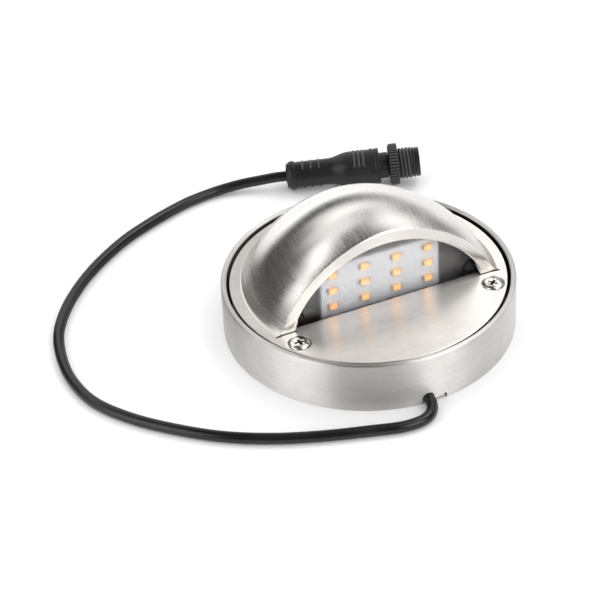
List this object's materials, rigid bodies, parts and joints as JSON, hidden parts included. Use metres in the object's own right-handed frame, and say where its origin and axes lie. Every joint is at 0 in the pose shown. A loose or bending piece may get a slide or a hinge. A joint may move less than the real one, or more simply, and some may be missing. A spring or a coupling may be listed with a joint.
{
  "type": "outdoor wall light",
  "caption": "Round steel outdoor wall light with a half-dome hood over a frosted LED window, and a short cord with a screw connector.",
  "frame": {"origin": "centre of the housing's back face, which lies on the wall, or on the table in the picture", "axes": "+Z out of the wall face, -Y towards the side the hood opens to, +X along the opening"},
  "size_m": [0.1769, 0.1721, 0.0514],
  "materials": {
    "steel": "brushed, circular grain on the ring, straight grain on the cover",
    "screw_steel": "polished pan heads",
    "zinc": "zinc plated, dull",
    "alloy": "grey anodised",
    "board_white": "white solder mask",
    "led_package": "warm phosphor in a white frame",
    "frosted_lens": "frosted polycarbonate",
    "black_plastic": "black, satin",
    "rubber": "black, dull",
    "cord_jacket": "black, smooth",
    "lead_red": "red insulation",
    "lead_black": "black insulation",
    "lead_white": "white insulation",
    "board_green": "green solder mask",
    "terminal": "blue moulded plastic",
    "ferrite": "sintered ferrite, dull",
    "can": "sleeved can",
    "brass": "gilt"
  },
  "bodies": {
    "root": {"housing_ring": "steel", "hood_cover": "steel", "cover_screw_left": "screw_steel", "cover_screw_right": "screw_steel", "wall_plate": "zinc", "cover_post_left": "zinc", "cover_post_right": "zinc", "carrier_screw_left": "zinc", "carrier_screw_right": "zinc", "driver_spacer_left": "zinc", "driver_spacer_right": "zinc", "driver_screw_left": "zinc", "driver_screw_right": "zinc", "clamp_screw_left": "zinc", "clamp_screw_right": "zinc", "led_carrier": "alloy", "led_board": "board_white", "led_chip_01": "led_package", "led_chip_02": "led_package", "led_chip_03": "led_package", "led_chip_04": "led_package", "led_chip_05": "led_package", "led_chip_06": "led_package", "led_chip_07": "led_package", "led_chip_08": "led_package", "led_chip_09": "led_package", "led_chip_10": "led_package", "led_chip_11": "led_package", "led_chip_12": "led_package", "lens": "frosted_lens", "connector_body": "black_plastic", "contact_insert": "black_plastic", "cable_clamp": "black_plastic", "lens_screw_left": "black_plastic", "lens_screw_right": "black_plastic", "regulator_chip": "black_plastic", "lens_gasket": "rubber", "power_cord": "cord_jacket", "cord_tail": "cord_jacket", "supply_lead_red": "lead_red", "supply_lead_black": "lead_black", "led_lead_black": "lead_black", "led_lead_white": "lead_white", "driver_board": "board_green", "terminal_block": "terminal", "inductor": "ferrite", "capacitor": "can", "contact_pin_1": "brass", "contact_pin_2": "brass"},
    "coupling": {"coupling_screw": "black_plastic", "coupling_seal": "rubber"}
  },
  "joints": [
    {"name": "coupling_spin", "type": "hinge", "parent": "root", "child": "coupling", "pos_m": [0.04681, 0.07916, 0.00847], "axis": [0.9311, -0.36, 0.058], "continuous": true}
  ]
}
